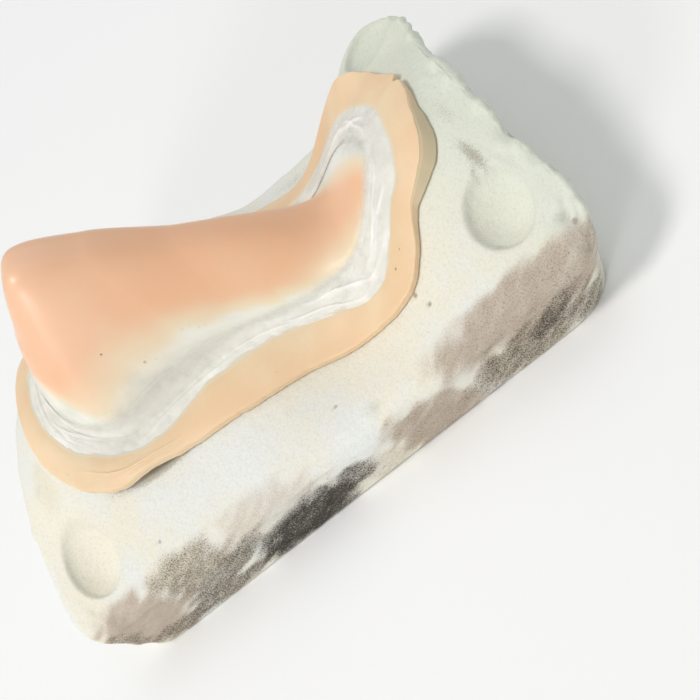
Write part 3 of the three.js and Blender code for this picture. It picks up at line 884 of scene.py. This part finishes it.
# CLEAR FILM
# The thin clear skin that encapsulates the silicone and runs on past the nose's rim, out under the
# flash. It lies on the plaster and has puckered where it has come away, in folds that follow the rim.
FILM_THICKNESS = 0.07
FILM_CLEARANCE = 0.12
FILM_IN, FILM_IN_BROW = 0.86, 0.55
FILM_TUCK = 0.34
FILM_TURN, FILM_DIVE = 0.35, 0.86
FILM_STEPS = 60
FOLDED_FROM, FOLDED_TO = 0.2, 0.90
FADED_IN = 0.3
FOLD_COLUMNS = ("start", "end", "across_start", "across_end", "height", "width")
FOLDS = {
    "long fold, right of the brow": (0.03, 0.150, 0.34, 0.62, 0.35, 0.05),
    "second fold, right of the brow": (0.06, 0.165, 0.70, 0.52, 0.22, 0.05),
    "fold at the flash, right": (0.10, 0.19, 0.84, 0.80, 0.25, 0.05),
    "pucker, eye corner": (0.145, 0.200, 0.78, 0.30, 0.40, 0.05),
    "pucker, eye corner middle": (0.155, 0.215, 0.62, 0.20, 0.34, 0.045),
    "pucker, eye corner below": (0.170, 0.235, 0.86, 0.40, 0.34, 0.05),
    "run along the flank": (0.200, 0.30, 0.62, 0.45, 0.20, 0.06),
    "run along the flank, upper": (0.215, 0.29, 0.30, 0.20, 0.16, 0.05),
    "white line by the flash": (0.285, 0.385, 0.80, 0.84, 0.24, 0.04),
    "curl at the lip corner": (0.415, 0.475, 0.30, 0.66, 0.16, 0.045),
    "second curl, lip corner": (0.445, 0.495, 0.18, 0.52, 0.20, 0.045),
    "third curl, lip corner": (0.460, 0.520, 0.12, 0.40, 0.24, 0.045),
    "outer curl at the lip": (0.45, 0.53, 0.75, 0.80, 0.24, 0.05),
    "fold, left of the brow": (0.88, 0.975, 0.70, 0.35, 0.40, 0.06),
    "second fold, left of the brow": (0.86, 0.95, 0.45, 0.65, 0.34, 0.05),
    "third fold, left": (0.80, 0.90, 0.30, 0.55, 0.28, 0.06),
    "fold, left flank": (0.62, 0.74, 0.55, 0.40, 0.20, 0.06),
}
FOLD_SWAY, FOLD_SWAYS, FOLD_FULLNESS = 0.04, 9, 0.7
FOLD_WHITE = 0.4
WAVE_COLUMNS = ("middle", "width", "out")
PUCKERED = {
    "eye corner": (0.18, 0.045, 2.0),
    "lip": (0.46, 0.05, 0.6),
    "brow, left": (0.90, 0.07, 1.6),
    "brow, right": (0.09, 0.05, 0.1),
    "left flank": (0.70, 0.08, 0.6),
}
CREASES_ACROSS, CREASES_AROUND = 9.0, 38.0
CREASE_STEEP, CREASE_SHARP = 2.6, 1.5
SMALL_CREASES, SMALL_CREASE_SCALE = 0.6, 2.3
CREASE_SEED, SMALL_CREASE_SEED = 42, 43
CREASE_CALM, CREASE_PUCKERED = 0.02, 0.08
CRUMPLE = ((0.05, 1.2, 40), (0.03, 0.7, 41))
FILM_LOFT = 0.06
way_round = np.arange(STATIONS) / STATIONS


def around_band(table):
    """Sum of bells round the band, each with its middle and width as shares of the way round."""
    total = np.zeros(STATIONS)
    for wave in named_rows(table, WAVE_COLUMNS):
        off = np.abs(way_round - wave["middle"])
        off = np.minimum(off, 1 - off)
        total += wave["out"] * np.exp(-((off / wave["width"]) ** 2))
    return total


def lines_across(table, across, sway=0.0, fullness=1.0):
    """Sum of ridges: each is a bell across a line that crosses the band from one place to another, swaying
    as a sine, and rises and sinks along its length as a half sine to the power of its fullness."""
    total = np.zeros(np.broadcast(across, way_round).shape)
    for fold in named_rows(table, FOLD_COLUMNS):
        along = (way_round - fold["start"]) / (fold["end"] - fold["start"])
        line = blend(fold["across_start"], fold["across_end"], along) + sway * np.sin(FOLD_SWAYS * along)
        half_sine = np.sin(np.pi * np.clip(along, 0, 1)) ** fullness
        swell = np.where((along > 0) & (along < 1), half_sine, 0)
        total = total + fold["height"] * swell * np.exp(-(((across - line) / fold["width"]) ** 2))
    return total


def crease_lines(drawn, seed):
    """Sharp ridges along the lines where noise passes through its middle."""
    away = CREASE_STEEP * np.abs(lattice_noise(drawn, 1.0, seed))
    return np.clip(1 - away, 0, 1) ** CREASE_SHARP


def film_wrinkles(across, plan):
    """Fine creases: ridges where drawn-out noise passes through its middle, deeper where the film has
    puckered, and a little crumple everywhere."""
    drawn = np.stack(np.broadcast_arrays(CREASES_ACROSS * across, CREASES_AROUND * way_round, 0.0), -1)
    small = crease_lines(SMALL_CREASE_SCALE * drawn, SMALL_CREASE_SEED)
    ridges = crease_lines(drawn, CREASE_SEED) + SMALL_CREASES * small
    depth = CREASE_CALM + CREASE_PUCKERED * around_band(PUCKERED)
    return depth * ridges + rough_noise(lift(plan), CRUMPLE) + FILM_LOFT


def film_rows():
    """Across the band: over the nose's thin edge, down on to the plaster, and a little way under the
    flash; the same line back below it makes the thickness."""
    across = np.linspace(0, 1, FILM_STEPS)
    film_in = blend(FILM_IN, FILM_IN_BROW, brow_end)
    over = blend(film_in, 1.0, np.clip(across / FILM_TURN, 0, 1)[:, None])
    on_nose = rings_to_spine(over)
    outwards = np.clip((across - FILM_TURN) / (FILM_DIVE - FILM_TURN), 0, 1)[:, None, None]
    tuck = np.clip((across - FILM_DIVE) / (1 - FILM_DIVE), 0, 1)[:, None, None] * FILM_TUCK
    plan = on_nose + (film_edge - foot) * outwards + (flash_edge - film_edge) * tuck
    on_skin = nose_height(plan[..., 0], plan[..., 1]) * (across <= FILM_TURN)[:, None]
    height = rim_lift(over) + FILM_CLEARANCE + on_skin
    shown = (smoothstep(0.0, FOLDED_FROM, across) * smoothstep(1.0, FOLDED_TO, across))[:, None]
    folds = lines_across(FOLDS, across[:, None], FOLD_SWAY, FOLD_FULLNESS) * shown
    creases = film_wrinkles(across[:, None], plan) * shown
    top = lift(plan, height + folds + creases)
    bottom = top - (0, 0, FILM_THICKNESS)
    fade = smoothstep(0.0, FADED_IN, across)[:, None]
    crease = np.clip(folds / FOLD_WHITE, 0, 1)
    rows = np.concatenate([bottom, top[::-1]])
    return rows, np.concatenate([fade, fade[::-1]]), np.concatenate([crease, crease[::-1]])


FILM_CLEAR = (0.92, 0.90, 0.82, 1)
FILM_MURK = (0.74, 0.73, 0.66, 1)
FILM_CREASE = (0.97, 0.955, 0.91, 1)


def film_material():
    """Clear film with murky clouds, whiter and denser on its folds, fading out on the nose."""
    material, tree, skin, where = new_material("clear film")
    smoke = noise(tree, where, scale=260.0, detail=3.0)
    crease = shade(tree, "crease")
    murk = ramp(tree, noise(tree, where, scale=420.0, detail=4.0, roughness=0.65), 0.48, 0.72, 0.0, 0.55)
    colour = mix(tree, crease, mix(tree, murk, FILM_CLEAR, FILM_MURK), FILM_CREASE)
    tree.links.new(colour, skin.inputs["Base Color"])
    tree.links.new(ramp(tree, smoke, 0.3, 0.7, 0.38, 0.55), skin.inputs["Roughness"])
    body = ramp(tree, smoke, 0.3, 0.7, 0.74, 0.88)
    body = maths(tree, "ADD", maths(tree, "MULTIPLY", crease, 0.12), body)
    tree.links.new(maths(tree, "MULTIPLY", body, shade(tree, "fade")), skin.inputs["Alpha"])
    wrinkle = {"Height": noise(tree, where, scale=700.0, detail=2.0), "Strength": 0.5, "Distance": 0.0002}
    tree.links.new(place(tree, "ShaderNodeBump", wrinkle).outputs[0], skin.inputs["Normal"])
    skin.inputs["Coat Weight"].default_value = 0.12
    skin.inputs["Coat Roughness"].default_value = 0.18
    return material


film, film_fade, film_crease = film_rows()
clear_film = grid_mesh("clear_film", film, joined=True, fade=film_fade, crease=film_crease)
clear_film.data.materials.append(film_material())
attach(clear_film, "root")
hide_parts("film_edge")

# SILICONE FLASH
# The spare silicone squeezed out of the mould round the film: a flat pale band with a crisp outer edge,
# feathered on its inside. It grips the film's edge and the plaster, and has lifted in two places.
FLASH_THICKNESS = 1.05
FLASH_SIDE_ROUND = 0.16
FLASH_TAPER = 1.9
FLASH_SEAT = 0.30
UNDER_STEPS, SIDE_STEPS, ROUND_STEPS, TOP_STEPS = 12, 6, 5, 50
SIDE_LOW, SIDE_HIGH = 0.08, 0.90
TOP_SPACING = 0.9
EDGE_FRINGE = ((0.14, 2.4, 50), (0.07, 0.9, 51))
INNER_BLUR = ((0.30, 3.0, 54), (0.15, 1.1, 55))
FLASH_SWELL = ((0.05, 7, 52),)
UNEVEN_THICKNESS = ((0.10, 18, 53),)
PEEL_FROM, PEEL_CURL = 0.25, 1.6
DETAIL_FROM = 0.3
SIDE_PLAIN = 0.15
ROUND_SHADE = 0.8
EDGE_WAVES = {
    "bump, brow right": (0.052, 0.030, 2.0),
    "dip, right": (0.092, 0.018, -0.9),
    "swell, eye corner": (0.145, 0.022, 0.3),
    "nick, brow": (0.972, 0.0035, -0.9),
    "dip, flank": (0.235, 0.030, -0.9),
    "dip, lip corner": (0.382, 0.022, -0.8),
    "dip, lip": (0.480, 0.020, -0.7),
    "dip, left": (0.700, 0.040, -0.6),
    "bump, left": (0.880, 0.030, 0.4),
    "flat, brow left": (0.940, 0.022, -1.2),
}
INNER_WAVES = {
    "wide, brow right": (0.060, 0.040, 1.1),
    "narrow, flank": (0.220, 0.045, -1.3),
    "wide, lip corner": (0.360, 0.025, 1.4),
    "wide, lip": (0.500, 0.030, 0.8),
    "narrow, left": (0.760, 0.050, -0.9),
}
LIFTS = {
    "peeled, lip corner": (0.382, 0.024, 0.9),
    "peeled, left": (0.822, 0.028, 1.4),
}
THICKENED = {"brow right": (0.050, 0.036, 0.85), "left": (0.80, 0.10, 0.3)}
BEVELS = {"brow right": (0.050, 0.040, 1.5), "left": (0.80, 0.10, 0.3)}
CREASES = {
    "step, lip corner": (0.350, 0.440, 0.66, 0.56, 0.30, 0.030),
    "stripe beside it": (0.352, 0.430, 0.74, 0.66, 0.10, 0.035),
    "seam, lip": (0.405, 0.455, 0.16, 0.10, 0.10, 0.020),
    "crease, brow": (0.000, 0.060, 0.35, 0.30, 0.05, 0.050),
}
FLASH_PITS = {
    "right": (18.2, 26.0, 0.34, 0.7),
    "right, upper": (17.0, 28.4, 0.26, 0.5),
    "flank": (17.7, 0.7, 0.24, 0.4),
}
PIT_NEAR = 0.4


def flash_rows():
    """Section carried round the nose: flat underside, upright outer side, small round, and a top that
    thins inwards to a feathered edge. Waves move both edges, lifts raise the outer one."""
    under = np.linspace(0.0, 1.0, UNDER_STEPS)
    rise = np.linspace(SIDE_LOW, SIDE_HIGH, SIDE_STEPS)
    turn = np.linspace(0, np.pi / 2, ROUND_STEPS + 1)[1:]
    top = 1 - np.linspace(0, 1, TOP_STEPS)[1:] ** TOP_SPACING
    outer = flash_edge - film_edge
    width = np.linalg.norm(outer, axis=1)
    round_share = FLASH_SIDE_ROUND / width.mean()
    flat = top - round_share * (top > round_share)
    round_across = 1 - round_share * (1 - np.cos(turn))
    round_height = FLASH_THICKNESS - FLASH_SIDE_ROUND * (1 - np.sin(turn))
    top_height = FLASH_THICKNESS * (1 - (1 - flat) ** FLASH_TAPER)
    across = np.concatenate([under, np.ones(SIDE_STEPS), round_across, flat])[:, None]
    height = np.concatenate([0 * under, FLASH_THICKNESS * rise, round_height, top_height])
    round_side = np.linspace(ROUND_SHADE, 0.0, ROUND_STEPS)
    side = np.concatenate([np.ones(UNDER_STEPS + SIDE_STEPS), round_side, 0 * flat])[:, None]
    inside = (around_band(INNER_WAVES) + rough_noise(lift(film_edge), INNER_BLUR)) / width
    outside = 1 + (around_band(EDGE_WAVES) + rough_noise(lift(flash_edge), EDGE_FRINGE)) / width
    lean = np.concatenate([0 * under, rise, np.ones(ROUND_STEPS + len(flat))])[:, None]
    reach = outside - lean * around_band(BEVELS) / width
    plan = film_edge + outer * blend(inside, reach, across)[..., None]
    peel = around_band(LIFTS) * smoothstep(PEEL_FROM, 1.0, across) ** PEEL_CURL
    detail = lines_across(CREASES, across) + rough_noise(lift(plan), FLASH_SWELL)
    detail = detail * (height > DETAIL_FROM * FLASH_THICKNESS)[:, None] * (1 - side)
    thick = 1 + rough_noise(lift(flash_edge), UNEVEN_THICKNESS) + around_band(THICKENED)
    rows = lift(plan, FLASH_SEAT + height[:, None] * thick + peel + detail)
    # The third value is painted shade for the outer side and its round, most where the band is bevelled.
    return rows, across, side * np.clip(around_band(BEVELS), SIDE_PLAIN, 1)


def flash_pits(rows):
    """Air holes in the band, painted as dark spots of shade: each one's middle on the highest point of the
    band there, radius, strength.
    """
    points = rows.reshape(-1, 3)
    for pit in named_rows(FLASH_PITS, SPOT_COLUMNS):
        near = np.hypot(points[:, 0] - pit["x"], points[:, 1] - pit["y"]) < PIT_NEAR
        yield (pit["x"], pit["y"], points[near, 2].max()), pit["radius"], pit["strength"]


FLASH_PEACH = (0.87, 0.60, 0.37, 1)
FLASH_PALE = (0.89, 0.66, 0.43, 1)
FLASH_FEATHER = (0.84, 0.79, 0.67, 1)
# Colour of the painted shade on the band's outer side.
FLASH_SIDE = (0.66, 0.55, 0.36, 1)
HOLE_SHADE_BROWN = (0.20, 0.13, 0.08, 1)


def flash_material():
    """Mottled pale peach, clearer at the feathered inside, with painted shade on the upright side and dark
    spots of painted shade for air holes.
    """
    material, tree, skin, where = new_material("flash silicone")
    mottle = silicone_finish(tree, skin, where, roughness=0.48, bump=0.10)
    colour = mix(tree, ramp(tree, mottle, 0.35, 0.7), FLASH_PEACH, FLASH_PALE)
    colour = mix(tree, ramp(tree, shade(tree, "across"), 0.24, 0.02), colour, FLASH_FEATHER)
    # Painted shade on the outer side, strongest where the brow bevel shows.
    colour = mix(tree, shade(tree, "side"), colour, FLASH_SIDE)
    # Painted shade: dark spots for air holes, scattered and at listed places; the holes are not modelled.
    pits = place_specks(tree, where, spacing=330.0, share=0.035, size=0.09)
    colour = mix(tree, maths(tree, "MULTIPLY", pits["Specks"], 0.8), colour, HOLE_SHADE_BROWN)
    colour = spots(tree, where, colour, HOLE_SHADE_BROWN, flash_pits(flash))
    tree.links.new(colour, skin.inputs["Base Color"])
    return material


flash, flash_across, flash_side_shade = flash_rows()
silicone_flash = grid_mesh("silicone_flash", flash, joined=True, across=flash_across, side=flash_side_shade)
silicone_flash.data.materials.append(flash_material())
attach(silicone_flash, "root")
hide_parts("flash_rim")

# STAGE
# A plain pale floor, a soft key light from high on the lip side with two weak fills and a back light, and
# the camera above the brow corner, looking down along the nose.
FLOOR_HALF = 8.0
FLOOR_PALE = (0.93, 0.93, 0.92, 1)


def pale_floor():
    """A flat square on the ground plane."""
    corners = np.array([(-1, -1, 0), (1, -1, 0), (1, 1, 0), (-1, 1, 0)]) * FLOOR_HALF
    mesh = bpy.data.meshes.new("floor")
    mesh.from_pydata(corners.tolist(), [], [(0, 1, 2, 3)])
    floor = bpy.data.objects.new("floor", mesh)
    bpy.context.scene.collection.objects.link(floor)
    material, _, skin, _ = new_material("pale floor")
    skin.inputs["Base Color"].default_value = FLOOR_PALE
    skin.inputs["Roughness"].default_value = 0.9
    mesh.materials.append(material)
    return floor


pale_floor()

WARM_LIGHT = (1.0, 0.98, 0.95)
PALE_LIGHT = (1.0, 0.99, 0.97)
COOL_LIGHT = (0.98, 0.99, 1.0)


def soft_light(name, colour, towards, distance, size, watts):
    """A square lamp off in one direction, turned to face the block."""
    lamp = bpy.data.lights.new(name, "AREA")
    lamp.size = size
    lamp.energy = watts
    lamp.color = colour
    lamp_object = bpy.data.objects.new(name, lamp)
    place_at = Vector(towards).normalized() * distance
    facing = place_at.to_track_quat("Z", "Y").to_matrix().to_4x4()
    lamp_object.matrix_world = Matrix.Translation(place_at) @ facing
    bpy.context.scene.collection.objects.link(lamp_object)


soft_light("key", WARM_LIGHT, towards=(0.22, -0.34, 0.91), distance=1.2, size=0.35, watts=5.6)
soft_light("fill", PALE_LIGHT, towards=(0.82, -0.45, 0.36), distance=1.2, size=0.30, watts=2.7)
soft_light("low fill", PALE_LIGHT, towards=(0.80, -0.58, 0.14), distance=1.2, size=0.30, watts=0.6)
soft_light("back", COOL_LIGHT, towards=(-0.45, 0.35, 0.82), distance=1.4, size=1.2, watts=2.4)
SKY_COLOUR = (0.95, 0.97, 1.0, 1)
SKY_STRENGTH = 0.50
sky = bpy.data.worlds.new("soft sky")
sky.use_nodes = True
sky.node_tree.nodes["Background"].inputs["Color"].default_value = SKY_COLOUR
sky.node_tree.nodes["Background"].inputs["Strength"].default_value = SKY_STRENGTH
bpy.context.scene.world = sky
bpy.context.scene.view_settings.view_transform = "Standard"

CAMERA_PLACE = Vector((0.1714, 0.1050, 0.1639))
CAMERA_BACK = Vector((0.6501, 0.4012, 0.6453)).normalized()
CAMERA_UP = Vector((-0.7214, 0.5926, 0.3583))
camera = bpy.data.cameras.new("camera")
camera.sensor_width = 36
camera.lens = 81.2
camera_object = bpy.data.objects.new("camera", camera)
across_view = CAMERA_UP.cross(CAMERA_BACK).normalized()
turned = Matrix((across_view, CAMERA_BACK.cross(across_view), CAMERA_BACK)).transposed().to_4x4()
camera_object.matrix_world = Matrix.Translation(CAMERA_PLACE) @ turned
bpy.context.scene.collection.objects.link(camera_object)
bpy.context.scene.camera = camera_object
